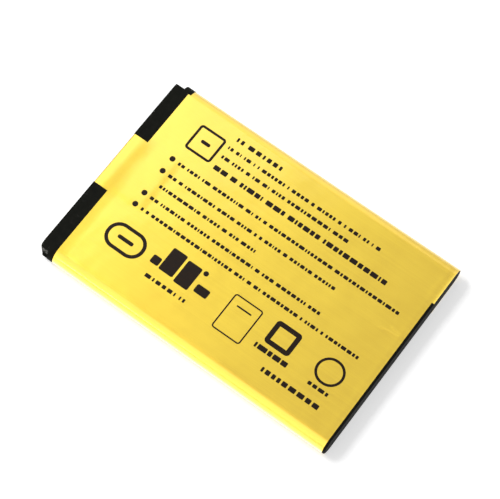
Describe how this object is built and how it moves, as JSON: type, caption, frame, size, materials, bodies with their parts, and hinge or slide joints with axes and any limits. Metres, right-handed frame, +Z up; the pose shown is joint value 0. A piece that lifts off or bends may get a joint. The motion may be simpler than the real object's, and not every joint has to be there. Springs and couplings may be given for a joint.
{
  "type": "mobile phone battery",
  "caption": "Flat removable battery pack with rounded long sides: gold foil sleeve round a sealed cell, between black end caps, one with recessed contacts.",
  "frame": {"origin": "middle of the underside of the flat battery", "axes": "+X along the length away from the contact end, +Y across the width, +Z up out of the printed face"},
  "size_m": [0.0634, 0.043, 0.0046],
  "materials": {
    "gold_foil": "metallised film, gold, finely brushed along the length, satin",
    "black_plastic": "moulded black, fine matt texture",
    "contact_gold": "gold plated, smooth",
    "pouch_laminate": "satin aluminium laminate",
    "aluminium_foil": "plain foil",
    "nickel": "plain nickel strip",
    "sealing_film": "clear film",
    "amber_tape": "smooth film tape",
    "insulating_paper": "pressed paper",
    "board_laminate": "glass laminate with green solder mask",
    "fuse_strip": "nickel strip with a coated middle",
    "chip_mould": "moulded chip body",
    "resistor_body": "dark glaze with tinned ends",
    "capacitor_body": "fired body with tinned ends",
    "adhesive_foam": "thin foam tape"
  },
  "bodies": {
    "root": {"label": "gold_foil", "contact_end_cap": "black_plastic", "plain_end_cap": "black_plastic", "end_cap_adhesive": "adhesive_foam", "cell_pouch": "pouch_laminate", "positive_tab": "aluminium_foil", "negative_tab": "nickel", "positive_tab_film": "sealing_film", "negative_tab_film": "sealing_film", "terrace_tape": "amber_tape", "shoulder_paper": "insulating_paper", "circuit_board": "board_laminate", "positive_lead": "nickel", "negative_lead": "nickel", "resettable_fuse": "fuse_strip", "mosfet_pair": "chip_mould", "protection_chip": "chip_mould", "supply_resistor": "resistor_body", "sense_resistor": "resistor_body", "identity_resistor": "resistor_body", "thermistor": "capacitor_body", "supply_capacitor": "capacitor_body", "output_capacitor": "capacitor_body", "contact_pad_positive": "contact_gold", "contact_pad_temperature": "contact_gold", "contact_pad_identity": "contact_gold", "contact_pad_negative": "contact_gold"}
  },
  "joints": []
}
